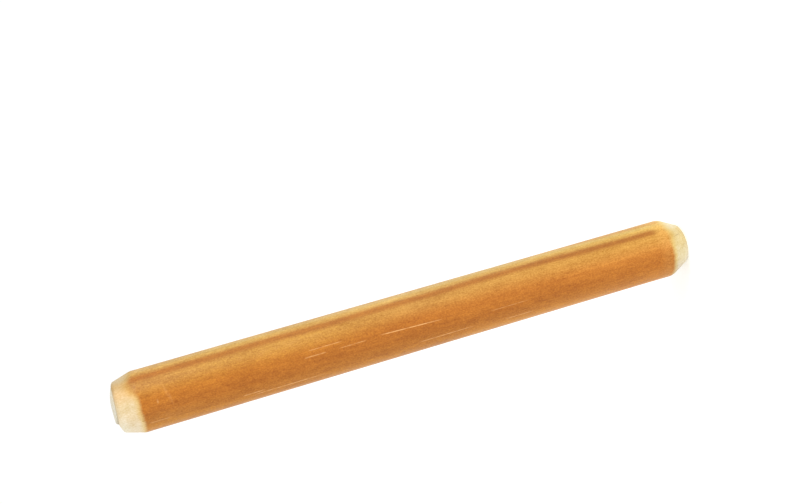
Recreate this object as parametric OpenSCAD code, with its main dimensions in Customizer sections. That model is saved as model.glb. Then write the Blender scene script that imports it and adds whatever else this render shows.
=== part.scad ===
// Round wooden peg: a straight shank with a tapered lead-in at each end.
// It stands on its flat sawn lower end. The upper end is worn to a low crown.

/* [Shank] */
// Overall length, from the lower end face to the top of the crown
peg_len = 100; // [60:1:160]
// Diameter of the straight shank
shank_d = 10; // [9:0.1:12]

/* [Upper end] */
// Length of the tapered lead-in, measured along the peg
upper_taper_len = 3.1; // [2.5:0.1:8]
// Diameter where the lead-in meets the crowned face, before the rim is rounded
upper_rim_d = 8.2; // [7:0.1:8.8]
// Rise of the crowned face above that rim
upper_crown_rise = 1; // [0.4:0.05:1.2]
// Radius of the rim between lead-in and crowned face
upper_rim_r = 0.6; // [0.2:0.05:0.8]
// Radius of the soft edge between shank and lead-in
upper_shoulder_r = 2; // [0.5:0.1:4]

/* [Lower end] */
// Length of the tapered lead-in, measured along the peg
lower_taper_len = 3; // [2.5:0.1:8]
// Diameter of the flat end face, before its rim is rounded
lower_rim_d = 6.8; // [5:0.1:8.8]
// Radius of the rim between end face and lead-in
lower_rim_r = 0.3; // [0.1:0.05:0.8]
// Radius of the soft edge between shank and lead-in
lower_shoulder_r = 2; // [0.5:0.1:4]

/* [Hidden] */
$fn = 96;

// Straight steps along each round of the section
arc_steps = 8;

shank_r = shank_d / 2;
upper_rim_z = peg_len - upper_crown_rise;

// Corners of the half section as radius and height, before they are rounded
lower_rim = [lower_rim_d / 2, 0];
lower_shoulder = [shank_r, lower_taper_len];
upper_shoulder = [shank_r, upper_rim_z - upper_taper_len];
upper_rim = [upper_rim_d / 2, upper_rim_z];

// Lean of each lead-in towards the axis
lower_lean = atan2(shank_r - lower_rim_d / 2, lower_taper_len);
upper_lean = atan2(shank_r - upper_rim_d / 2, upper_taper_len);

// Circle that the crowned face follows in the half section
crown_r = (pow(upper_rim_d / 2, 2) + pow(upper_crown_rise, 2)) / (2 * upper_crown_rise);
crown_centre = [0, peg_len - crown_r];

// Centre of the upper rim's round, which touches the lead-in and the crown from inside
rim_inset = upper_rim - facing(upper_lean) * upper_rim_r - crown_centre;
rim_along = rim_inset * facing(upper_lean + 90);
rim_setback = rim_along - sqrt(pow(rim_along, 2) - rim_inset * rim_inset + pow(crown_r - upper_rim_r, 2));
rim_centre = crown_centre + rim_inset - facing(upper_lean + 90) * rim_setback;

// Direction in which the surface faces where that round runs into the crown
crown_edge = atan2(rim_centre[1] - crown_centre[1], rim_centre[0]);

function facing(angle) = [cos(angle), sin(angle)];

// Points of an arc whose surface turns from one facing to another
function arc(centre, r, from, to) =
    [for (i = [0:arc_steps]) centre + r * facing(from + (to - from) * i / arc_steps)];

// The arc that rounds the corner of two straight edges, given how each of them faces
function rounded(corner, from, to, r) =
    arc(corner - facing((from + to) / 2) * r / cos((to - from) / 2), r, from, to);

// Every point of a list but its first
function rest(points) = [for (i = [1:len(points) - 1]) points[i]];

// Half section, from the middle of the lower face round to the top of the crown
function half_section() =
    concat(
        [[0, 0]],
        rounded(lower_rim, -90, -lower_lean, lower_rim_r),
        rounded(lower_shoulder, -lower_lean, 0, lower_shoulder_r),
        rounded(upper_shoulder, 0, upper_lean, upper_shoulder_r),
        arc(rim_centre, upper_rim_r, upper_lean, crown_edge),
        rest(arc(crown_centre, crown_r, crown_edge, 90))
    );

module peg() {
    color("peru")
        rotate_extrude()
            polygon(half_section());
}

peg();
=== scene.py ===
"""Studio scene of a round wooden peg with a stained satin shank and bare tapered ends."""

import logging
import math
from dataclasses import dataclass, field
from enum import Enum
from typing import Any

import bmesh
import bpy
from bmesh.types import BMesh, BMVert
from bpy.types import Material, NodeSocket, NodeTree, Object
from mathutils import Matrix, Vector, noise

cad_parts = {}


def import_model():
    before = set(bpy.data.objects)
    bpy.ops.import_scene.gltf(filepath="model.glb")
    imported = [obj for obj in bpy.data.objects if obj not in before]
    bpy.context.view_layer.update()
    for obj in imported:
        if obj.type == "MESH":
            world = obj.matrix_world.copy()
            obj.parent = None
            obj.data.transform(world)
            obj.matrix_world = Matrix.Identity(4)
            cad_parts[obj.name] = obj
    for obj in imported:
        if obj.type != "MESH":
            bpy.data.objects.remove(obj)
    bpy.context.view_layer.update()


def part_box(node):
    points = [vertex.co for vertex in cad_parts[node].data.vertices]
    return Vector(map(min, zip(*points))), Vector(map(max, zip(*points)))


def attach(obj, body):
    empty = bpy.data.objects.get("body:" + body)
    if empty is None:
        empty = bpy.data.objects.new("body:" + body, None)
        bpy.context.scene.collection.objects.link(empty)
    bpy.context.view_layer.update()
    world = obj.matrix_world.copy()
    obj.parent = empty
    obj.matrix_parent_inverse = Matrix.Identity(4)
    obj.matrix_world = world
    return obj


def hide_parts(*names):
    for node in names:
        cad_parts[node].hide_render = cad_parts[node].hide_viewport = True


LOG = logging.getLogger("peg_scene")

# The peg and the camera are measured in millimetres, and the studio in metres, as in Blender.
MM = 0.001

# Sockets of the Mix node that carry colours
MIX_A = 6
MIX_B = 7
MIX_RESULT = 2


class Kind(Enum):
    """Shader nodes that the finishes are made of."""

    BUMP = "ShaderNodeBump"
    BACKGROUND = "ShaderNodeBackground"
    COORDINATES = "ShaderNodeTexCoord"
    MAP_RANGE = "ShaderNodeMapRange"
    MATH = "ShaderNodeMath"
    MIX = "ShaderNodeMix"
    NOISE = "ShaderNodeTexNoise"
    PRINCIPLED = "ShaderNodeBsdfPrincipled"
    SEPARATE = "ShaderNodeSeparateXYZ"
    SURFACE = "ShaderNodeOutputMaterial"
    VECTOR = "ShaderNodeVectorMath"
    VORONOI = "ShaderNodeTexVoronoi"
    WORLD = "ShaderNodeOutputWorld"


class End(Enum):
    """The two ends of the peg, each with the sign of the way it points along Z."""

    UPPER = 1
    LOWER = -1


def linear(hex_colour: str) -> tuple[float, float, float, float]:
    """Turn an sRGB colour into the linear one that a socket takes.

    Args:
        hex_colour: Six hex digits after a hash.

    Returns:
        Linear red, green and blue, and an alpha of one.
    """
    shares = [int(hex_colour[i:i + 2], 16) / 255 for i in (1, 3, 5)]
    red, green, blue = (s / 12.92 if s <= 0.04045 else ((s + 0.055) / 1.055) ** 2.4 for s in shares)
    return red, green, blue, 1.0


def add_node(
    tree: NodeTree,
    kind: Kind,
    inputs: dict[int | str, Any] | None = None,
    output: int | str = 0,
    **settings: Any,
) -> NodeSocket:
    """Add a node with its settings and links.

    Args:
        tree: Node tree that takes the node.
        kind: Which node to add.
        inputs: Value, or output socket to link from, for each input given by name or index.
        output: Name or index of the output to hand back.
        settings: Properties of the node itself, such as operation.

    Returns:
        The chosen output socket, or the node's last input where it has no output.
    """
    node = tree.nodes.new(kind.value)
    for name, value in settings.items():
        setattr(node, name, value)
    for key, value in (inputs or {}).items():
        if isinstance(value, NodeSocket):
            tree.links.new(value, node.inputs[key])
        else:
            node.inputs[key].default_value = value
    return node.outputs[output] if node.outputs else node.inputs[-1]


def new_material(name: str) -> Material:
    """Make a material with an empty node tree.

    Args:
        name: Name of the material.

    Returns:
        The new material.
    """
    material = bpy.data.materials.new(name)
    material.use_nodes = True
    material.node_tree.nodes.clear()
    return material


def new_object(name: str, mesh: BMesh) -> Object:
    """Turn a finished bmesh into an object of the scene, at the origin.

    Args:
        name: Name of the object and of its mesh.
        mesh: The bmesh, in metres, which is freed.

    Returns:
        The new object.
    """
    data = bpy.data.meshes.new(name)
    mesh.to_mesh(data)
    mesh.free()
    thing = bpy.data.objects.new(name, data)
    bpy.context.scene.collection.objects.link(thing)
    return thing


def facing(angle: float) -> Vector:
    """Unit vector in the XZ plane at an angle, in radians, from +X towards +Z."""
    return Vector((math.cos(angle), 0.0, math.sin(angle)))


@dataclass(frozen=True)
class TaperedEnd:
    """Sizes of one tapered end, and of the circle that its sawn face leaves on it."""

    taper_len: float
    rim_d: float
    rim_r: float
    shoulder_r: float
    crown_rise: float
    sawn_r: float
    sawn_centre: tuple[float, float, float] = (0.0, 0.0, 0.0)

    @property
    def reach(self) -> float:
        """Length of the end along the peg, from its shoulder to its tip."""
        return self.taper_len + self.crown_rise


@dataclass(frozen=True)
class Place:
    """Sockets that say where a point of the wood lies, in millimetres and radians."""

    point: NodeSocket
    flat: NodeSocket
    height: NodeSocket
    angle: NodeSocket
    across: NodeSocket


@dataclass(frozen=True)
class Grain:
    """One size of grain: width across the peg, stretch along it, octaves, weight and roughness."""

    width: float
    stretch: float
    detail: float
    weight: float = 1.0
    roughness: float = 0.6

    def pattern(self, tree: NodeTree, point: NodeSocket) -> NodeSocket:
        """Noise that is drawn out along the grain.

        Args:
            tree: Node tree of the material.
            point: Position in millimetres.

        Returns:
            A value about zero, and mostly within half the weight of it.
        """
        scale = (1 / self.width, 1 / self.width, 1 / (self.width * self.stretch))
        scaled = add_node(tree, Kind.VECTOR, {0: point, 1: scale}, operation="MULTIPLY")
        raw = add_node(
            tree, Kind.NOISE,
            {"Vector": scaled, "Scale": 1.0, "Detail": self.detail, "Roughness": self.roughness},
        )
        return add_node(
            tree, Kind.MATH, {0: raw, 1: self.weight, 2: -self.weight / 2}, operation="MULTIPLY_ADD"
        )


@dataclass(frozen=True)
class Layer:
    """A growth layer of the wood: its height across the peg and its colour."""

    height: float
    colour: str


@dataclass(frozen=True)
class GrowthLayers:
    """The growth layers that the peg was cut from, lowest first."""

    layers: tuple[Layer, ...]

    def colour(self, tree: NodeTree, across: NodeSocket) -> NodeSocket:
        """Run through the colours of the layers.

        Args:
            tree: Node tree of the material.
            across: Height across the layers.

        Returns:
            The colour at that height.
        """
        colour = linear(self.layers[0].colour)
        for below, layer in zip(self.layers, self.layers[1:]):
            share = add_node(
                tree, Kind.MAP_RANGE,
                {"Value": across, "From Min": below.height, "From Max": layer.height},
                interpolation_type="SMOOTHSTEP",
            )
            colour = add_node(
                tree, Kind.MIX, {0: share, MIX_A: colour, MIX_B: linear(layer.colour)}, MIX_RESULT,
                data_type="RGBA",
            )
        return colour


@dataclass(frozen=True)
class Mark:
    """A line or stretch on the surface, by height and by angle from -Y towards +X in degrees."""

    low: float
    high: float
    angle_low: float
    angle_high: float
    # Distance to either side over which it fades out
    width: float
    strength: float
    # Share of its half length over which it stays at full strength
    full_share: float = 0.7

    def drawn(self, tree: NodeTree, place: Place, arc: NodeSocket, radius: float) -> NodeSocket:
        """Draw the mark.

        Args:
            tree: Node tree of the material.
            place: Where a point lies.
            arc: Length round the shank from -Y towards +X, in millimetres.
            radius: Radius of the shank in millimetres.

        Returns:
            How much of the mark a point shows, up to its strength.
        """
        half = (self.high - self.low) / 2
        slope = math.radians(self.angle_high - self.angle_low) * radius / (2 * half)
        base = math.radians((self.angle_low + self.angle_high) / 2) * radius
        along = add_node(
            tree, Kind.MATH, {0: place.height, 1: (self.low + self.high) / 2}, operation="SUBTRACT"
        )
        line = add_node(tree, Kind.MATH, {0: along, 1: slope, 2: base}, operation="MULTIPLY_ADD")
        aside = add_node(tree, Kind.MATH, {0: arc, 1: line}, operation="SUBTRACT")
        off = add_node(tree, Kind.MATH, {0: aside}, operation="ABSOLUTE")
        across = add_node(
            tree, Kind.MAP_RANGE,
            {"Value": off, "From Max": self.width, "To Min": self.strength, "To Max": 0.0},
            interpolation_type="SMOOTHSTEP",
        )
        reach = add_node(tree, Kind.MATH, {0: along}, operation="ABSOLUTE")
        length = add_node(
            tree, Kind.MAP_RANGE,
            {
                "Value": reach, "From Min": self.full_share * half, "From Max": half,
                "To Min": 1.0, "To Max": 0.0,
            },
        )
        return add_node(tree, Kind.MATH, {0: across, 1: length}, operation="MULTIPLY")


# Pale hairlines that handling left on the shank: those on the front from the upper end down, then
# a few on the back
SCRATCHES = (
    Mark(91.7, 95.2, -41.1, -41.2, 0.16, 0.5),
    Mark(92.95, 93.25, -2.4, -2.4, 0.5, 0.4),
    Mark(90.8, 91.8, -10.0, 18.0, 1.3, 0.14),
    Mark(76.4, 80.2, -42.6, -42.6, 0.13, 0.95),
    Mark(66.3, 78.7, -48.0, -48.3, 0.14, 0.9),
    Mark(65.7, 69.5, -2.7, -2.7, 0.13, 0.85),
    Mark(62.8, 68.6, 8.5, 8.5, 0.11, 0.7),
    Mark(58.9, 63.7, -2.6, -2.7, 0.11, 0.58),
    Mark(45.9, 56.9, -4.8, -0.4, 0.12, 0.95),
    Mark(40.5, 50.6, -38.5, -38.7, 0.13, 0.95),
    Mark(30.4, 37.7, -16.3, -16.4, 0.11, 0.42),
    Mark(29.9, 35.2, -45.2, -45.3, 0.13, 0.75),
    Mark(52.0, 61.0, 128.0, 131.0, 0.12, 0.8),
    Mark(22.0, 30.0, 171.0, 170.0, 0.11, 0.7),
    Mark(70.0, 76.0, -131.0, -130.0, 0.13, 0.8),
)

# Dark nicks: one in the shank and one in the lower taper
NICKS = (
    Mark(79.65, 79.95, -19.4, -19.4, 0.16, 0.6),
    Mark(0.9, 2.7, 32.0, 22.6, 0.13, 0.5),
)

# Stretches that took more stain, one where it is a purer amber, and a grey smudge from handling
# near the upper end
SOAKED = (
    Mark(42.0, 76.0, -10.0, -10.0, 16.0, 0.12, full_share=0.2),
    Mark(84.0, 106.0, 52.0, 52.0, 6.0, 0.32, full_share=0.2),
)
AMBER = (
    Mark(50.0, 112.0, 38.0, 38.0, 5.0, 0.3, full_share=0.6),
)
SMUDGES = (
    Mark(84.0, 102.0, -38.0, -38.0, 3.4, 0.12, full_share=0.2),
)


@dataclass(frozen=True)
class EndCut:
    """How one end was cut through the stain into bare wood."""

    end: End
    # Colours of the bare layers, paler towards -X with painted bounce light
    bare: GrowthLayers
    # Height where the stain stops, and a tongue of stain that runs on past it between two angles
    edge: float
    tongue: float
    tongue_from: float
    tongue_to: float
    tongue_blend: float
    # Heights across the layers between which the painted bounce light on the rim fades out
    bounce_full: float
    bounce_none: float

    def past(self, tree: NodeTree, place: Place) -> NodeSocket:
        """Measure along the peg from the edge of the stain.

        Args:
            tree: Node tree of the material.
            place: Where a point lies.

        Returns:
            Millimetres past the edge, below zero on the stained shank.
        """
        middle = math.radians((self.tongue_from + self.tongue_to) / 2)
        half = math.radians((self.tongue_to - self.tongue_from) / 2)
        blend = math.radians(self.tongue_blend)
        turned = add_node(tree, Kind.MATH, {0: place.angle, 1: middle}, operation="SUBTRACT")
        aside = add_node(tree, Kind.MATH, {0: turned}, operation="ABSOLUTE")
        tongue = add_node(
            tree, Kind.MAP_RANGE,
            {
                "Value": aside, "From Min": half - blend / 2, "From Max": half + blend / 2,
                "To Min": -self.tongue, "To Max": 0.0,
            },
            interpolation_type="SMOOTHSTEP",
        )
        above = add_node(tree, Kind.MATH, {0: place.height, 1: self.edge}, operation="SUBTRACT")
        way = float(self.end.value)
        return add_node(tree, Kind.MATH, {0: above, 1: way, 2: tongue}, operation="MULTIPLY_ADD")


# Bare birch is a dull cream that shows no sheen. At the upper end the cut runs through late wood, which
# is tan.
#  Towards -X the layers are paler, which is painted bounce light, and the lower end is paler still,
#  painted light that lifts the shade where the peg stands on the floor.
UPPER_CUT = EndCut(
    End.UPPER,
    GrowthLayers((
        Layer(-4.0, "#E3D3B6"),
        Layer(-2.4, "#D8C198"),
        Layer(-0.4, "#CBB58C"),
        Layer(1.8, "#C5A678"),
        Layer(3.0, "#AE9061"),
        Layer(4.1, "#A79575"),
    )),
    edge=95.8, tongue=0.95, tongue_from=24.0, tongue_to=62.0, tongue_blend=40.0,
    bounce_full=-3.8, bounce_none=-0.8,
)
LOWER_CUT = EndCut(
    End.LOWER,
    GrowthLayers((
        Layer(-4.0, "#D2C7B1"),
        Layer(-1.6, "#DACDA6"),
        Layer(0.6, "#CDBA87"),
        Layer(2.9, "#C5B383"),
        Layer(3.7, "#C9BD9C"),
    )),
    edge=3.5, tongue=0.3, tongue_from=22.0, tongue_to=38.0, tongue_blend=12.0,
    bounce_full=-3.0, bounce_none=1.5,
)


@dataclass(frozen=True)
class StainedBirch:
    """Birch rod, stained amber and waxed to a satin sheen before its ends were cut bare."""

    # The stain soaks in and gives a warm brown; early wood takes it thinly and looks yellower. The
    # yellowing towards +X is partly a painted highlight, and the lighter layers at the -X edge are
    # painted bounce light.
    stain: GrowthLayers = GrowthLayers((
        Layer(-5.0, "#BA7A22"),
        Layer(-4.5, "#BB781A"),
        Layer(-3.4, "#AF6B1D"),
        Layer(-2.2, "#A96318"),
        Layer(-0.4, "#A96318"),
        Layer(2.75, "#A8762E"),
        Layer(4.2, "#AF8840"),
        Layer(4.7, "#AA8B49"),
        Layer(4.98, "#A67A33"),
    ))
    # Towards the lower end the shank is lighter and yellower, and a pale band about the early wood, a
    # painted highlight,
    #  grows stronger there; the stain is also thinnest in the last millimetres before its edge
    thin_stain_and_highlight: str = "#D4A053"
    lighter_from: float = 48.0
    lower_end_gain: tuple[float, float, float] = (0.12, 0.13, -0.05)
    highlight_share: float = 0.16
    thin_edge_from: float = 6.4
    thin_edge_to: float = 4.4
    thin_edge_share: float = 0.18
    highlight_centre: float = 1.2
    highlight_reach: float = 3.2
    # The late wood of a growth layer shows as a dark band along the peg, and fades out at the edge
    late_wood: str = "#955B16"
    band_height: float = 3.44
    band_core: float = 0.1
    band_reach: float = 0.82
    soaked: str = "#8A4A12"
    amber: str = "#A9760F"
    smudge: str = "#57503F"

    # Stain that crept under the cut edge tints the bare wood beside it yellow
    fringe_tint: str = "#F7E7BB"
    fringe_reach: float = 3.0
    # Painted bounce light makes the rims pale on their -X side
    rim_bounce: str = "#EAE2CC"
    rim_bounce_reach: float = 1.5
    rim_bounce_share: float = 0.9
    # Cut fibres on the sawn faces look grey and speckled beside the long grain
    end_grain: str = "#CAC9BD"
    end_grain_share: float = 0.75
    end_contrast: float = 0.5
    # Painted shade: the groove round the sawn face is darkened in colour
    groove_shade: str = "#8F8B77"
    groove_shade_share: float = 0.5
    crease_width: float = 0.25
    scratch: str = "#E4AC6C"
    nick: str = "#6E4218"

    # Wax gives the stained shank a soft sheen, and bare wood is dull
    roughness_stain: float = 0.42
    roughness_bare: float = 0.8
    ior: float = 1.5
    specular: float = 0.25

    # The layers are flat sheets along the grain that lean a little, wander, and run out upwards
    # near the lower end
    layer_lean_deg: float = 6.9
    layer_wander: Grain = Grain(4.0, 5.0, 2.0, 0.6)
    run_out: float = 0.35
    run_out_from: float = 40.0

    # Fibre streaks, specks, blotches and clouds. The specks are drawn about twice as coarse as
    # birch fibres, so that they show.
    grains: tuple[Grain, ...] = (
        Grain(0.32, 24.0, 3.0, 0.35),
        Grain(0.2, 1.5, 2.0, 0.9),
        Grain(0.7, 2.2, 2.0, 0.36),
        Grain(3.2, 3.0, 1.0, 0.4),
    )
    # Dark grain is browner than light grain, so green and blue change more than red
    grain_tint: tuple[float, float, float] = (1.0, 1.45, 2.8)
    stain_contrast: float = 1.0
    bare_contrast: float = 0.45
    # Pores are dark dots, deepest over a share of their radius and closer round the peg than along it
    pore_spacing: float = 2.6
    pore_stretch: float = 2.0
    pore_radius: float = 0.13
    pore_core: float = 0.5
    pore_depth: float = 0.4
    # Height of the fibres, which also scales the scratches and saw marks
    relief: float = 0.012

    upper_cut: EndCut = UPPER_CUT
    lower_cut: EndCut = LOWER_CUT
    # The edge of the stain wanders round the peg, frays along the fibres, and is softer in
    # early wood
    edge_wobble: Grain = Grain(2.2, 20.0, 3.0, 0.4)
    edge_fray: Grain = Grain(0.35, 5.0, 2.0, 0.35)
    edge_crisp: float = 0.38
    edge_bleed: float = 0.65
    bleed_across: float = 2.0

    # Marks are broken up as they are on worn wood: where the flaws run low, a share of them is left
    flaws: Grain = Grain(0.5, 2.0, 1.0)
    flaw_from: float = -0.15
    flaw_to: float = 0.05
    flaw_share: float = 0.4

    # Saw marks run across the end faces at a slant
    saw_spacing: float = 0.5
    saw_slant: float = 0.5
    saw_drift: Grain = Grain(1.5, 1.0, 1.0, 6.0)
    saw_depth: float = 1.2

    def material(self, peg: "Peg") -> Material:
        """Build the wood as a solid pattern through the peg.

        Args:
            peg: The peg that wears it, for its sizes.

        Returns:
            The finished material.
        """
        material = new_material("stained_birch_satin")
        tree = material.node_tree
        place = self._place(tree)
        grain = self._grain(tree, place)
        edge = self._edge(tree, place)
        bare = add_node(
            tree, Kind.MAP_RANGE, {"Value": edge, "From Min": -1.0, "From Max": 1.0},
            interpolation_type="SMOOTHSTEP",
        )
        sawn, groove_shaded = self._sawn(tree, place, peg)
        scratched = self._marked(tree, place, peg.diameter / 2, SCRATCHES)
        nicked = self._marked(tree, place, peg.diameter / 2, NICKS)

        stained = self._stained(tree, place, grain, peg)
        marked = add_node(
            tree, Kind.MIX, {0: scratched, MIX_A: stained, MIX_B: linear(self.scratch)}, MIX_RESULT,
            data_type="RGBA",
        )
        cut = self._bare(tree, place, grain, edge, peg)
        faced = self._faced(tree, cut, grain, sawn, groove_shaded)
        wood = add_node(
            tree, Kind.MIX, {0: bare, MIX_A: marked, MIX_B: faced}, MIX_RESULT, data_type="RGBA"
        )
        colour = add_node(
            tree, Kind.MIX, {0: nicked, MIX_A: wood, MIX_B: linear(self.nick)}, MIX_RESULT,
            data_type="RGBA",
        )
        roughness = add_node(
            tree, Kind.MAP_RANGE,
            {"Value": bare, "To Min": self.roughness_stain, "To Max": self.roughness_bare},
        )
        grooves = add_node(tree, Kind.MATH, {0: scratched, 1: nicked}, operation="ADD")
        fibres = add_node(tree, Kind.MATH, {0: grain, 1: grooves}, operation="SUBTRACT")
        saw_marks = self._saw_marks(tree, place, sawn)
        relief = add_node(tree, Kind.MATH, {0: fibres, 1: saw_marks}, operation="ADD")
        normal = add_node(
            tree, Kind.BUMP, {"Height": relief, "Strength": 1.0, "Distance": self.relief * MM}
        )
        surface = add_node(
            tree, Kind.PRINCIPLED,
            {
                "Base Color": colour,
                "Roughness": roughness,
                "Normal": normal,
                "IOR": self.ior,
                "Specular IOR Level": self.specular,
            },
        )
        add_node(tree, Kind.SURFACE, {"Surface": surface})
        return material

    def _place(self, tree: NodeTree) -> Place:
        """Measure where a point lies on the peg.

        Args:
            tree: Node tree of the material.

        Returns:
            Sockets for its position.
        """
        metres = add_node(tree, Kind.COORDINATES, output="Object")
        point = add_node(tree, Kind.VECTOR, {0: metres, "Scale": 1 / MM}, operation="SCALE")
        axes = add_node(tree, Kind.SEPARATE, {0: point}).node.outputs
        forward = add_node(tree, Kind.MATH, {0: axes["Y"], 1: -1.0}, operation="MULTIPLY")
        angle = add_node(tree, Kind.MATH, {0: axes["X"], 1: forward}, operation="ARCTAN2")
        flat = add_node(tree, Kind.VECTOR, {0: point, 1: (1.0, 1.0, 0.0)}, operation="MULTIPLY")
        lean = math.radians(self.layer_lean_deg)
        straight = add_node(
            tree, Kind.VECTOR, {0: point, 1: (math.cos(lean), math.sin(lean), 0.0)}, "Value",
            operation="DOT_PRODUCT",
        )
        wander = self.layer_wander.pattern(tree, point)
        wandering = add_node(tree, Kind.MATH, {0: straight, 1: wander}, operation="ADD")
        rising = add_node(
            tree, Kind.MAP_RANGE,
            {
                "Value": axes["Z"], "From Max": self.run_out_from,
                "To Min": self.run_out, "To Max": 0.0,
            },
            interpolation_type="SMOOTHSTEP",
        )
        across = add_node(tree, Kind.MATH, {0: wandering, 1: rising}, operation="ADD")
        return Place(point, flat, axes["Z"], angle, across)

    def _grain(self, tree: NodeTree, place: Place) -> NodeSocket:
        """Add up the grain of every size and the pores.

        Args:
            tree: Node tree of the material.
            place: Where a point lies.

        Returns:
            How much lighter, or darker below zero, the wood is than its plain colour.
        """
        density = 1 / self.pore_spacing
        scale = (density, density, density / self.pore_stretch)
        scaled = add_node(tree, Kind.VECTOR, {0: place.point, 1: scale}, operation="MULTIPLY")
        nearest = add_node(tree, Kind.VORONOI, {"Vector": scaled, "Scale": 1.0}, "Distance")
        radius = self.pore_radius * density
        total = add_node(
            tree, Kind.MAP_RANGE,
            {
                "Value": nearest, "From Min": radius * self.pore_core, "From Max": radius,
                "To Min": -self.pore_depth, "To Max": 0.0,
            },
        )
        for grain in self.grains:
            total = add_node(
                tree, Kind.MATH, {0: total, 1: grain.pattern(tree, place.point)}, operation="ADD"
            )
        return total

    def _edge(self, tree: NodeTree, place: Place) -> NodeSocket:
        """How far a point lies past the edge of the stain at the nearer end.

        Args:
            tree: Node tree of the material.
            place: Where a point lies.

        Returns:
            Distance in units of the edge's own softness, below zero on the stained shank.
        """
        past_upper = self.upper_cut.past(tree, place)
        past_lower = self.lower_cut.past(tree, place)
        depth = add_node(tree, Kind.MATH, {0: past_upper, 1: past_lower}, operation="MAXIMUM")
        for uneven in (self.edge_wobble, self.edge_fray):
            depth = add_node(
                tree, Kind.MATH, {0: depth, 1: uneven.pattern(tree, place.point)}, operation="ADD"
            )
        softness = add_node(
            tree, Kind.MAP_RANGE,
            {
                "Value": place.across, "From Max": self.bleed_across,
                "To Min": self.edge_crisp, "To Max": self.edge_bleed,
            },
        )
        return add_node(tree, Kind.MATH, {0: depth, 1: softness}, operation="DIVIDE")

    def _sawn(self, tree: NodeTree, place: Place, peg: "Peg") -> tuple[NodeSocket, NodeSocket]:
        """Find the sawn faces.

        Args:
            tree: Node tree of the material.
            place: Where a point lies.
            peg: The peg, for the sizes of its ends.

        Returns:
            Share of sawn face, and share of painted shade in the groove round it.
        """
        sawn: NodeSocket | float = 0.0
        groove_shaded: NodeSocket | float = 0.0
        for end, shape in peg.ends.items():
            at_end = add_node(
                tree, Kind.MATH,
                {0: place.height, 1: peg.tip(end), 2: shape.crown_rise + self.crease_width},
                operation="COMPARE",
            )
            from_centre = add_node(
                tree, Kind.VECTOR, {0: place.flat, 1: shape.sawn_centre}, "Value",
                operation="DISTANCE",
            )
            off = add_node(tree, Kind.MATH, {0: from_centre, 1: shape.sawn_r}, operation="SUBTRACT")
            inside = add_node(
                tree, Kind.MAP_RANGE,
                {
                    "Value": off, "From Min": -self.crease_width, "From Max": 0.0,
                    "To Min": 1.0, "To Max": 0.0,
                },
            )
            gap = add_node(tree, Kind.MATH, {0: off}, operation="ABSOLUTE")
            line = add_node(
                tree, Kind.MAP_RANGE,
                {
                    "Value": gap, "From Max": self.crease_width,
                    "To Min": self.groove_shade_share, "To Max": 0.0,
                },
                interpolation_type="SMOOTHSTEP",
            )
            face = add_node(tree, Kind.MATH, {0: at_end, 1: inside}, operation="MULTIPLY")
            ring = add_node(tree, Kind.MATH, {0: at_end, 1: line}, operation="MULTIPLY")
            sawn = add_node(tree, Kind.MATH, {0: face, 1: sawn}, operation="ADD")
            groove_shaded = add_node(tree, Kind.MATH, {0: ring, 1: groove_shaded}, operation="ADD")
        return sawn, groove_shaded

    def _saw_marks(self, tree: NodeTree, place: Place, sawn: NodeSocket) -> NodeSocket:
        """Ridges that the saw left on the end faces.

        Args:
            tree: Node tree of the material.
            place: Where a point lies.
            sawn: Share of sawn face.

        Returns:
            Height of the ridges in units of the relief.
        """
        turns = 2 * math.pi / self.saw_spacing
        phase = add_node(
            tree, Kind.VECTOR, {0: place.flat, 1: (turns, turns * self.saw_slant, 0.0)}, "Value",
            operation="DOT_PRODUCT",
        )
        drift = self.saw_drift.pattern(tree, place.point)
        drifted = add_node(tree, Kind.MATH, {0: phase, 1: drift}, operation="ADD")
        ridges = add_node(tree, Kind.MATH, {0: drifted}, operation="SINE")
        depth = add_node(tree, Kind.MATH, {0: sawn, 1: self.saw_depth}, operation="MULTIPLY")
        return add_node(tree, Kind.MATH, {0: ridges, 1: depth}, operation="MULTIPLY")

    def _marked(
        self, tree: NodeTree, place: Place, radius: float, marks: tuple[Mark, ...]
    ) -> NodeSocket:
        """Draw marks on the surface, broken up by flaws.

        Args:
            tree: Node tree of the material.
            place: Where a point lies.
            radius: Radius of the shank in millimetres.
            marks: The marks.

        Returns:
            How much of a mark a point shows, from 0 to 1.
        """
        arc = add_node(tree, Kind.MATH, {0: place.angle, 1: radius}, operation="MULTIPLY")
        total: NodeSocket | float = 0.0
        for mark in marks:
            drawn = mark.drawn(tree, place, arc, radius)
            total = add_node(tree, Kind.MATH, {0: total, 1: drawn}, operation="MAXIMUM")
        kept = add_node(
            tree, Kind.MAP_RANGE,
            {
                "Value": self.flaws.pattern(tree, place.point),
                "From Min": self.flaw_from, "From Max": self.flaw_to, "To Min": self.flaw_share,
            },
        )
        return add_node(tree, Kind.MATH, {0: total, 1: kept}, operation="MULTIPLY")

    def _grained(
        self,
        tree: NodeTree,
        colour: NodeSocket | tuple[float, ...],
        grain: NodeSocket,
        contrast: float,
    ) -> NodeSocket:
        """Darken and lighten a colour with the grain.

        Args:
            tree: Node tree of the material.
            colour: The plain colour, as a socket or as linear red, green and blue.
            grain: How much lighter the wood is.
            contrast: How strongly the grain shows.

        Returns:
            The colour with its grain.
        """
        weights = tuple(contrast * share for share in self.grain_tint)
        gain = add_node(
            tree, Kind.VECTOR, {0: grain, 1: weights, 2: (1.0, 1.0, 1.0)}, operation="MULTIPLY_ADD"
        )
        return add_node(tree, Kind.VECTOR, {0: colour, 1: gain}, operation="MULTIPLY")

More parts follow.
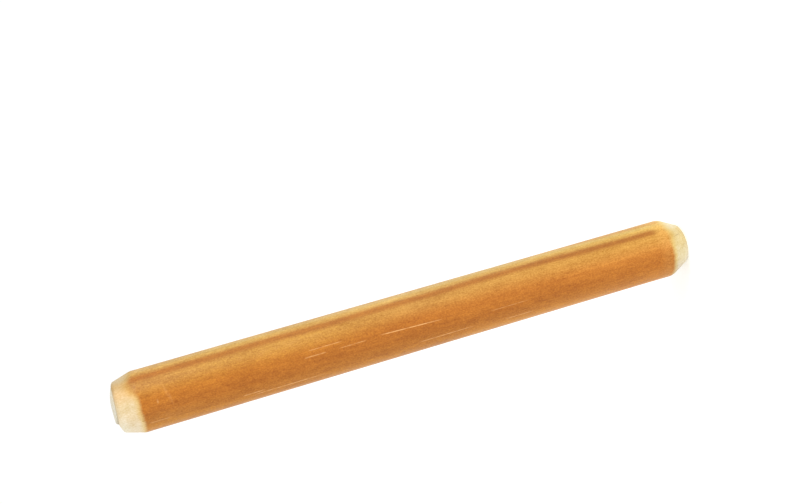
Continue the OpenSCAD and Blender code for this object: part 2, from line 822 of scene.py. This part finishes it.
    def _stained(self, tree: NodeTree, place: Place, grain: NodeSocket, peg: "Peg") -> NodeSocket:
        """Colour of the stained shank.

        Args:
            tree: Node tree of the material.
            place: Where a point lies.
            grain: How much lighter the wood is.
            peg: The peg, for its sizes.

        Returns:
            The colour.
        """
        radius = peg.diameter / 2
        at_edge = add_node(
            tree, Kind.MAP_RANGE,
            {
                "Value": place.height,
                "From Min": self.thin_edge_to, "From Max": self.thin_edge_from,
                "To Min": 1.0, "To Max": 0.0,
            },
            interpolation_type="SMOOTHSTEP",
        )
        colour = self._thinned(tree, place, at_edge)
        coats = (
            (self._marked(tree, place, radius, AMBER), self.amber),
            (self._band(tree, place, at_edge), self.late_wood),
            (self._marked(tree, place, radius, SOAKED), self.soaked),
            (self._marked(tree, place, radius, SMUDGES), self.smudge),
        )
        for share, tone in coats:
            colour = add_node(
                tree, Kind.MIX, {0: share, MIX_A: colour, MIX_B: linear(tone)}, MIX_RESULT,
                data_type="RGBA",
            )
        return self._grained(tree, colour, grain, self.stain_contrast)

    def _thinned(self, tree: NodeTree, place: Place, at_edge: NodeSocket) -> NodeSocket:
        """Colour of the layers, lighter towards the lower end, with a painted highlight about the early
        wood and a stain that thins at its lower edge.

        Args:
            tree: Node tree of the material.
            place: Where a point lies.
            at_edge: Share of the last millimetres before the lower edge of the stain.

        Returns:
            The colour.
        """
        # Layer colours, partly a painted highlight towards +X and painted bounce light at the -X edge
        layered = self.stain.colour(tree, place.across)
        along = add_node(
            tree, Kind.MAP_RANGE,
            {"Value": place.height, "From Max": self.lighter_from, "To Min": 1.0, "To Max": 0.0},
        )
        gain = add_node(
            tree, Kind.VECTOR, {0: along, 1: self.lower_end_gain, 2: (1.0, 1.0, 1.0)},
            operation="MULTIPLY_ADD",
        )
        lightened = add_node(tree, Kind.VECTOR, {0: layered, 1: gain}, operation="MULTIPLY")
        above = add_node(
            tree, Kind.MATH, {0: place.across, 1: self.highlight_centre}, operation="SUBTRACT"
        )
        off = add_node(tree, Kind.MATH, {0: above}, operation="ABSOLUTE")
        # Painted highlight: a pale band about the early wood that grows towards the lower end
        highlight_band = add_node(
            tree, Kind.MAP_RANGE,
            {
                "Value": off, "From Max": self.highlight_reach,
                "To Min": self.highlight_share, "To Max": 0.0,
            },
        )
        highlight_towards_end = add_node(tree, Kind.MATH, {0: along, 1: highlight_band}, operation="MULTIPLY")
        # Stain thinning at the lower edge plus the painted highlight band
        thin_and_highlight = add_node(
            tree, Kind.MATH, {0: at_edge, 1: self.thin_edge_share, 2: highlight_towards_end},
            operation="MULTIPLY_ADD",
        )
        return add_node(
            tree, Kind.MIX, {0: thin_and_highlight, MIX_A: lightened, MIX_B: linear(self.thin_stain_and_highlight)}, MIX_RESULT,
            data_type="RGBA",
        )

    def _band(self, tree: NodeTree, place: Place, at_edge: NodeSocket) -> NodeSocket:
        """Find the dark band of late wood.

        Args:
            tree: Node tree of the material.
            place: Where a point lies.
            at_edge: Share of the last millimetres before the lower edge of the stain.

        Returns:
            Share of late wood.
        """
        above = add_node(
            tree, Kind.MATH, {0: place.across, 1: self.band_height}, operation="SUBTRACT"
        )
        off = add_node(tree, Kind.MATH, {0: above}, operation="ABSOLUTE")
        band = add_node(
            tree, Kind.MAP_RANGE,
            {
                "Value": off, "From Min": self.band_core, "From Max": self.band_reach,
                "To Min": 1.0, "To Max": 0.0,
            },
            interpolation_type="SMOOTHSTEP",
        )
        fading = add_node(tree, Kind.MATH, {0: 1.0, 1: at_edge}, operation="SUBTRACT")
        return add_node(tree, Kind.MATH, {0: band, 1: fading}, operation="MULTIPLY")

    def _bare(
        self, tree: NodeTree, place: Place, grain: NodeSocket, edge: NodeSocket, peg: "Peg"
    ) -> NodeSocket:
        """Colour of the bare tapers, tinted along the stain and paled at the rims on the -X side by
        painted bounce light.

        Args:
            tree: Node tree of the material.
            place: Where a point lies.
            grain: How much lighter the wood is.
            edge: Distance past the edge of the stain.
            peg: The peg, for its sizes.

        Returns:
            The colour.
        """
        upper = add_node(
            tree, Kind.MATH, {0: place.height, 1: peg.length / 2}, operation="GREATER_THAN"
        )
        # Bare layers, paled towards -X by painted bounce light and at the lower end by painted light
        layered = add_node(
            tree, Kind.MIX,
            {
                0: upper,
                MIX_A: self.lower_cut.bare.colour(tree, place.across),
                MIX_B: self.upper_cut.bare.colour(tree, place.across),
            },
            MIX_RESULT, data_type="RGBA",
        )
        near = add_node(
            tree, Kind.MAP_RANGE,
            {"Value": edge, "From Max": self.fringe_reach, "To Min": 1.0, "To Max": 0.0},
            interpolation_type="SMOOTHSTEP",
        )
        colour = add_node(
            tree, Kind.MIX, {0: near, MIX_A: layered, MIX_B: linear(self.fringe_tint)}, MIX_RESULT,
            data_type="RGBA", blend_type="MULTIPLY",
        )
        # Painted bounce light pales each rim on its -X side
        for cut in (self.upper_cut, self.lower_cut):
            above = add_node(
                tree, Kind.MATH, {0: place.height, 1: peg.rim_height(cut.end)}, operation="SUBTRACT"
            )
            off = add_node(tree, Kind.MATH, {0: above}, operation="ABSOLUTE")
            beside = add_node(
                tree, Kind.MAP_RANGE,
                {
                    "Value": off, "From Max": self.rim_bounce_reach,
                    "To Min": self.rim_bounce_share, "To Max": 0.0,
                },
                interpolation_type="SMOOTHSTEP",
            )
            below = add_node(
                tree, Kind.MAP_RANGE,
                {
                    "Value": place.across, "From Min": cut.bounce_full, "From Max": cut.bounce_none,
                    "To Min": 1.0, "To Max": 0.0,
                },
                interpolation_type="SMOOTHSTEP",
            )
            share = add_node(tree, Kind.MATH, {0: beside, 1: below}, operation="MULTIPLY")
            colour = add_node(
                tree, Kind.MIX, {0: share, MIX_A: colour, MIX_B: linear(self.rim_bounce)}, MIX_RESULT,
                data_type="RGBA",
            )
        return self._grained(tree, colour, grain, self.bare_contrast)

    def _faced(
        self,
        tree: NodeTree,
        cut: NodeSocket,
        grain: NodeSocket,
        sawn: NodeSocket,
        groove_shaded: NodeSocket,
    ) -> NodeSocket:
        """Grey the sawn faces and darken the groove round them with painted shade.

        Args:
            tree: Node tree of the material.
            cut: Colour of the bare wood.
            grain: How much lighter the wood is.
            sawn: Share of sawn face.
            groove_shaded: Share of painted shade in the groove round the sawn face.

        Returns:
            The colour.
        """
        share = add_node(tree, Kind.MATH, {0: sawn, 1: self.end_grain_share}, operation="MULTIPLY")
        speckled = self._grained(tree, linear(self.end_grain)[:3], grain, self.end_contrast)
        greyed = add_node(
            tree, Kind.MIX, {0: share, MIX_A: cut, MIX_B: speckled}, MIX_RESULT, data_type="RGBA"
        )
        return add_node(
            tree, Kind.MIX, {0: groove_shaded, MIX_A: greyed, MIX_B: linear(self.groove_shade)}, MIX_RESULT,
            data_type="RGBA",
        )


@dataclass(frozen=True)
class MattePaper:
    """Smooth white paper under the peg, on a light table that takes most of the shadow away."""

    # Paper scatters evenly and shows no sheen.
    colour: str = "#FBFBFA"
    roughness: float = 0.95
    specular: float = 0.1
    glow: float = 0.14

    def material(self) -> Material:
        """Build the paper's material.

        Returns:
            The finished material.
        """
        material = new_material("matte_white_paper")
        tree = material.node_tree
        surface = add_node(
            tree, Kind.PRINCIPLED,
            {
                "Base Color": linear(self.colour),
                "Roughness": self.roughness,
                "Specular IOR Level": self.specular,
                "Emission Color": linear(self.colour),
                "Emission Strength": self.glow,
            },
        )
        add_node(tree, Kind.SURFACE, {"Surface": surface})
        return material


@dataclass(frozen=True)
class Wear:
    """Uneven wear: its greatest depth, and how fast it changes along X, Y and Z per millimetre."""

    depth: float
    rate: tuple[float, float, float]
    shift: tuple[float, float, float] = (0.0, 0.0, 0.0)

    def at(self, point: Vector) -> float:
        """Depth that is worn away at a point of the true shape, in millimetres."""
        return self.depth * (1.0 + noise.noise(point * Vector(self.rate) + Vector(self.shift))) / 2


@dataclass
class Peg:
    """The turned peg, in one piece."""

    length: float
    diameter: float
    # The upper end is worn to a low crown, on which the sawn face lies a little off centre
    upper: TaperedEnd = TaperedEnd(
        taper_len=3.1, rim_d=8.2, rim_r=0.6, shoulder_r=2.0, crown_rise=1.0,
        sawn_r=2.95, sawn_centre=(0.38, -0.04, 0.0),
    )
    lower: TaperedEnd = TaperedEnd(
        taper_len=3.0, rim_d=6.8, rim_r=0.3, shoulder_r=2.0, crown_rise=0.0, sawn_r=3.2
    )
    finish: StainedBirch = StainedBirch()
    segments: int = 192
    round_steps: int = 6
    crown_steps: int = 72
    shank_rings: int = 200
    end_rings: int = 14
    merge_gap: float = 0.001
    # The rod isn't quite true, and its ends are rubbed unevenly from a little way up the shank. The
    # end faces keep their height.
    shank_wear: Wear = Wear(0.03, (0.12, 0.12, 0.05))
    end_wear: Wear = Wear(0.05, (0.45, 0.45, 0.4), (7.0, 3.0, 1.0))
    end_wear_margin: float = 1.0
    face_fade: float = 0.5
    # The sawn face of the crown has a groove round it, and its -X half stands proud with a round
    # edge
    crease_depth: float = 0.05
    crease_width: float = 0.2
    proud_edge: float = 0.4

    @property
    def ends(self) -> dict[End, TaperedEnd]:
        """Both ends by name."""
        return {End.UPPER: self.upper, End.LOWER: self.lower}

    @property
    def crown_r(self) -> float:
        """Radius of the circle that the crowned face follows in the half section."""
        rise = self.upper.crown_rise
        return ((self.upper.rim_d / 2) ** 2 + rise ** 2) / (2 * rise)

    def tip(self, end: End) -> float:
        """Height of the outermost point of an end."""
        return self.length if end is End.UPPER else 0.0

    def rim_height(self, end: End) -> float:
        """Height of the rim between taper and end face."""
        return self.tip(end) - end.value * self.ends[end].crown_rise

    def build(self) -> Object:
        """Turn the peg from its half section and wear it.

        Returns:
            The peg's object, riding on its body and standing for its solid.
        """
        mesh = bmesh.new()
        self._draw_half_section(mesh)
        bmesh.ops.spin(
            mesh, geom=mesh.verts[:] + mesh.edges[:], cent=(0, 0, 0), axis=(0, 0, 1),
            dvec=(0, 0, 0), angle=2 * math.pi, steps=self.segments, use_merge=True,
        )
        bmesh.ops.remove_doubles(mesh, verts=mesh.verts, dist=self.merge_gap)
        for vert in mesh.verts:
            vert.co = self._worn(vert.co)
        bmesh.ops.recalc_face_normals(mesh, faces=mesh.faces)
        for face in mesh.faces:
            face.smooth = True
        bmesh.ops.scale(mesh, vec=(MM, MM, MM), verts=mesh.verts)
        peg = new_object("turned_peg", mesh)
        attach(peg, "root")
        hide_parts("peg")
        return peg

    def dress(self, peg: Object) -> None:
        """Give the peg its wood.

        Args:
            peg: The object that build made.
        """
        peg.data.materials.append(self.finish.material(self))

    def _draw_half_section(self, mesh: BMesh) -> None:
        """Draw the outline from the middle of the lower face to the top of the crown.

        Args:
            mesh: Empty bmesh that takes the outline as edges in the XZ plane.
        """
        radius = self.diameter / 2
        lower_lean = math.atan2(radius - self.lower.rim_d / 2, self.lower.taper_len)
        upper_lean = math.atan2(radius - self.upper.rim_d / 2, self.upper.taper_len)
        rim_z = self.rim_height(End.UPPER)
        lower_rim = Vector((self.lower.rim_d / 2, 0.0, 0.0))
        lower_shoulder = Vector((radius, 0.0, self.lower.taper_len))
        upper_shoulder = Vector((radius, 0.0, rim_z - self.upper.taper_len))
        upper_rim = Vector((self.upper.rim_d / 2, 0.0, rim_z))
        quarter = math.pi / 2

        middle = mesh.verts.new((0.0, 0.0, 0.0))
        rounds = [
            self._round_corner(mesh, lower_rim, self.lower.rim_r, -quarter, -lower_lean),
            self._round_corner(mesh, lower_shoulder, self.lower.shoulder_r, -lower_lean, 0.0),
            self._round_corner(mesh, upper_shoulder, self.upper.shoulder_r, 0.0, upper_lean),
            self._crown(mesh, upper_rim, upper_lean),
        ]
        starts = [middle] + [last for first, last in rounds[:-1]]
        face, lower_taper, _, upper_taper = (
            mesh.edges.new((start, first)) for start, (first, last) in zip(starts, rounds)
        )
        bmesh.ops.subdivide_edges(mesh, edges=[face, lower_taper, upper_taper], cuts=self.end_rings)
        # Cutting edges renews them all, so the shank is found again as the longest one
        shank = max(mesh.edges, key=lambda edge: edge.calc_length())
        bmesh.ops.subdivide_edges(mesh, edges=[shank], cuts=self.shank_rings)

    def _round_corner(
        self, mesh: BMesh, corner: Vector, r: float, from_angle: float, to_angle: float
    ) -> tuple[BMVert, BMVert]:
        """Draw the arc that rounds a corner of two straight edges.

        Args:
            mesh: Bmesh that takes the arc.
            corner: The sharp corner.
            r: Radius of the round.
            from_angle: Way that the edge before the corner faces, in radians.
            to_angle: Way that the edge after it faces.

        Returns:
            First and last vertex of the arc.
        """
        turn = to_angle - from_angle
        centre = corner - facing((from_angle + to_angle) / 2) * r / math.cos(turn / 2)
        start = mesh.verts.new(centre + facing(from_angle) * r)
        return self._arc(mesh, start, centre, turn, self.round_steps)

    def _arc(
        self, mesh: BMesh, first: BMVert, centre: Vector, turn: float, steps: int
    ) -> tuple[BMVert, BMVert]:
        """Draw an arc by turning a vertex in the XZ plane.

        Args:
            mesh: Bmesh that takes the arc.
            first: Vertex that the arc starts from.
            centre: Centre of the arc.
            turn: Angle in radians, from +X towards +Z.
            steps: Number of edges.

        Returns:
            First and last vertex of the arc.
        """
        made = bmesh.ops.spin(
            mesh, geom=[first], cent=centre, axis=(0, -1, 0), dvec=(0, 0, 0), angle=turn,
            steps=steps,
        )
        last = next(part for part in made["geom_last"] if isinstance(part, BMVert))
        return first, last

    def _crown(self, mesh: BMesh, rim: Vector, lean: float) -> tuple[BMVert, BMVert]:
        """Draw the rounded upper rim and the crowned face that it runs into.

        Args:
            mesh: Bmesh that takes the outline.
            rim: Sharp corner of taper and crown.
            lean: Lean of the taper towards the axis, in radians.

        Returns:
            First vertex of the rim's round, and the vertex on the axis.
        """
        crown_centre = Vector((0.0, 0.0, self.length - self.crown_r))
        up = facing(lean + math.pi / 2)
        inset = rim - facing(lean) * self.upper.rim_r - crown_centre
        along = inset.dot(up)
        room = along ** 2 - inset.length_squared + (self.crown_r - self.upper.rim_r) ** 2
        centre = crown_centre + inset - up * (along - math.sqrt(room))
        edge = math.atan2(centre.z - crown_centre.z, centre.x)
        start = mesh.verts.new(centre + facing(lean) * self.upper.rim_r)
        first, turned = self._arc(mesh, start, centre, edge - lean, self.round_steps)
        top = self._arc(mesh, turned, crown_centre, math.pi / 2 - edge, self.crown_steps)[1]
        return first, top

    def _worn(self, point: Vector) -> Vector:
        """Move a point of the true shape to where wear leaves it.

        Args:
            point: Point of the turned shape, in millimetres.

        Returns:
            The worn point.
        """
        outward = Vector((point.x, point.y, 0.0)).normalized()
        shares = [
            1.0 - abs(point.z - self.tip(end)) / (shape.reach + self.end_wear_margin)
            for end, shape in self.ends.items()
        ]
        at_ends = self.end_wear.at(point) * max(0.0, *shares)
        fade = min(1.0, point.z / self.face_fade, (self.length - point.z) / self.face_fade)
        depth = (self.shank_wear.at(point) + at_ends) * fade
        return point - outward * depth + Vector((0.0, 0.0, self._sawn_lift(point)))

    def _sawn_lift(self, point: Vector) -> float:
        """How far the sawn face and the groove round it depart from the crown.

        Args:
            point: Point of the turned shape, in millimetres.

        Returns:
            Height above the crown, in millimetres.
        """
        if point.z < self.rim_height(End.UPPER):
            return 0.0
        centre = Vector(self.upper.sawn_centre)
        off = math.hypot(point.x - centre.x, point.y - centre.y) - self.upper.sawn_r
        groove = self.crease_depth * math.exp(-((off / self.crease_width) ** 2))
        inside = min(1.0, max(0.0, -off / self.proud_edge))
        rounded = math.sqrt(1.0 - (1.0 - inside) ** 2)
        proud = min(0.0, point.x) ** 2 / (2 * self.crown_r)
        return proud * rounded - groove


@dataclass
class Studio:
    """Pale floor and soft light, measured in metres."""

    paper: MattePaper = MattePaper()
    floor_width: float = 6.0
    surround: str = "#FFFFFF"
    surround_strength: float = 1.035
    key_power: float = 3.2
    key_width: float = 0.4
    key_place: Vector = field(default_factory=lambda: Vector((0.58, -0.31, 0.29)))
    key_target: Vector = field(default_factory=lambda: Vector((0.0, 0.0, 0.05)))

    def build(self) -> Object:
        """Lay the floor, hang the light and set the surround.

        Returns:
            The floor.
        """
        self._key()
        self._surround()
        return self._floor()

    def _floor(self) -> Object:
        """Lay a wide sheet of paper at the height that the peg stands on.

        Returns:
            The sheet's object.
        """
        mesh = bmesh.new()
        bmesh.ops.create_grid(mesh, x_segments=1, y_segments=1, size=self.floor_width / 2)
        floor = new_object("floor", mesh)
        floor.data.materials.append(self.paper.material())
        return floor

    def _key(self) -> None:
        """Hang one large soft lamp at the side."""
        lamp = bpy.data.lights.new("key_softbox", "AREA")
        lamp.energy = self.key_power
        lamp.size = self.key_width
        softbox = bpy.data.objects.new("key_softbox", lamp)
        softbox.visible_camera = False
        aim = (self.key_target - self.key_place).to_track_quat("-Z", "Y")
        softbox.matrix_world = Matrix.Translation(self.key_place) @ aim.to_matrix().to_4x4()
        bpy.context.scene.collection.objects.link(softbox)

    def _surround(self) -> None:
        """Surround the set with even white."""
        world = bpy.data.worlds.new("white_surround")
        world.use_nodes = True
        world.node_tree.nodes.clear()
        light = add_node(
            world.node_tree, Kind.BACKGROUND,
            {"Color": linear(self.surround), "Strength": self.surround_strength},
        )
        add_node(world.node_tree, Kind.WORLD, {"Surface": light})
        bpy.context.scene.world = world


@dataclass
class PhotoCamera:
    """Camera at the viewing angle of the photograph, in millimetres of the peg's frame."""

    lens: float = 60.0
    sensor: float = 36.0
    nearest: float = 10.0
    farthest: float = 20000.0
    eye: Vector = field(default_factory=lambda: Vector((25.89, -212.895, 101.59)))
    aim: Vector = field(default_factory=lambda: Vector((11.63, 0.0, 48.729)))
    # The picture is turned on its side: its upper edge lies towards +X
    image_up: Vector = field(default_factory=lambda: Vector((0.96549, 0.0, -0.26044)))

    def build(self) -> None:
        """Make the camera and hand it to the scene."""
        data = bpy.data.cameras.new("photo_camera")
        data.lens = self.lens
        data.sensor_width = self.sensor
        data.clip_start = self.nearest * MM
        data.clip_end = self.farthest * MM
        camera = bpy.data.objects.new("photo_camera", data)
        back = (self.eye - self.aim).normalized()
        right = self.image_up.cross(back).normalized()
        up = back.cross(right)
        turn = Matrix((right, up, back)).transposed().to_4x4()
        camera.matrix_world = Matrix.Translation(self.eye * MM) @ turn
        bpy.context.scene.collection.objects.link(camera)
        bpy.context.scene.camera = camera


def main() -> None:
    """Build the peg, its finish, the studio and the camera."""
    logging.basicConfig(level=logging.INFO, format="%(name)s: %(message)s")
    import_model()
    low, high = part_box("peg")
    peg = Peg(length=(high.z - low.z) / MM, diameter=(high.x - low.x) / MM)
    PhotoCamera().build()
    body = peg.build()
    peg.dress(body)
    floor = Studio().build()
    for piece in (body, floor):
        LOG.info("%s: %d faces, %s", piece.name, len(piece.data.polygons), piece.data.materials[0].name)
    bpy.context.scene.view_settings.view_transform = "Standard"


if __name__ == "__main__":
    main()
